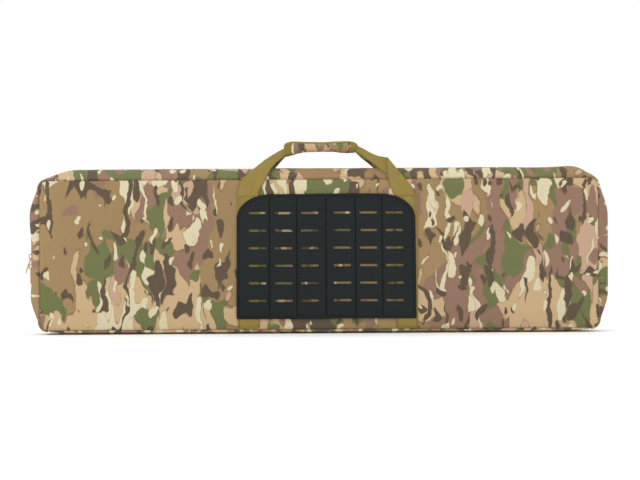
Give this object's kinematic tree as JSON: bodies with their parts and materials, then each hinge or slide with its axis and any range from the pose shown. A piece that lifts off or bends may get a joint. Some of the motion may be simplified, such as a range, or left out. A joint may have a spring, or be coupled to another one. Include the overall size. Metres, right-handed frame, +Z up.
{
  "type": "padded gig bag",
  "caption": "Long rectangular padded gig bag with a zipped lid, slotted attachment panel, sewn webbing straps and a wrapped carrying handle.",
  "frame": {"origin": "middle of the underside of the bottom wall, which the bag stands on", "axes": "+X along the bag to the right as seen from the front, -Y out of the front with the attachment panel, +Z up through the handle"},
  "size_m": [0.8509, 0.0693, 0.28],
  "materials": {
    "camo_fabric": "matt woven polyester with a camouflage print",
    "padding": "closed-cell foam",
    "lining_fabric": "matt woven lining",
    "tan_webbing": "ribbed woven webbing",
    "black_laminate": "matt laser-cut laminate",
    "zip_tape": "woven tape",
    "zip_coil": "nylon coil",
    "antique_brass": "aged plated metal"
  },
  "bodies": {
    "back_shell": {"back_cover": "camo_fabric", "back_foam": "padding", "back_lining": "lining_fabric", "rear_gusset_left": "camo_fabric", "rear_gusset_top": "camo_fabric", "rear_gusset_right": "camo_fabric", "bottom_gusset": "camo_fabric", "rear_zip_tape": "zip_tape", "rear_zip_coil": "zip_coil", "zip_end_tab_left": "tan_webbing", "zip_end_tab_right": "tan_webbing", "zip_stop_left": "antique_brass", "zip_stop_right": "antique_brass", "back_strap_left": "tan_webbing", "back_strap_right": "tan_webbing"},
    "front_shell": {"front_cover": "camo_fabric", "front_foam": "padding", "front_lining": "lining_fabric", "front_gusset_left": "camo_fabric", "front_gusset_top": "camo_fabric", "front_gusset_right": "camo_fabric", "front_zip_tape": "zip_tape", "front_zip_coil": "zip_coil", "attachment_panel": "black_laminate", "front_strap_left": "tan_webbing", "front_strap_right": "tan_webbing"},
    "front_handle": {"front_handle_strap": "tan_webbing", "grip_wrap": "camo_fabric", "grip_band_left": "tan_webbing", "grip_band_right": "tan_webbing", "grip_padding": "padding"},
    "rear_handle": {"rear_handle_strap": "tan_webbing"},
    "upper_slider": {"upper_slider": "antique_brass"},
    "upper_pull": {"upper_pull": "antique_brass"},
    "lower_slider": {"lower_slider": "antique_brass"},
    "lower_pull": {"lower_pull": "antique_brass"}
  },
  "joints": [
    {"name": "lid_hinge", "type": "hinge", "parent": "back_shell", "child": "front_shell", "pos_m": [0, -0.0315, 0.006], "axis": [1, 0, 0], "range_deg": [0, 90]},
    {"name": "front_handle_fold", "type": "hinge", "parent": "front_shell", "child": "front_handle", "pos_m": [0.0039, -0.0331, 0.2045], "axis": [1, 0, 0], "range_deg": [0, 135]},
    {"name": "rear_handle_fold", "type": "hinge", "parent": "back_shell", "child": "rear_handle", "pos_m": [0.0039, 0.0331, 0.2045], "axis": [-1, 0, 0], "range_deg": [0, 135]},
    {"name": "upper_slider_travel", "type": "slide", "parent": "back_shell", "child": "upper_slider", "axis": [0, 0, 1], "range_m": [0, 0.045]},
    {"name": "lower_slider_travel", "type": "slide", "parent": "back_shell", "child": "lower_slider", "axis": [0, 0, -1], "range_m": [0, 0.03]},
    {"name": "upper_pull_swing", "type": "hinge", "parent": "upper_slider", "child": "upper_pull", "pos_m": [-0.423, 0, 0.1116], "axis": [0, 1, 0], "range_deg": [0, 125]},
    {"name": "lower_pull_swing", "type": "hinge", "parent": "lower_slider", "child": "lower_pull", "pos_m": [-0.423, 0, 0.0971], "axis": [0, 1, 0], "range_deg": [0, 30]}
  ]
}
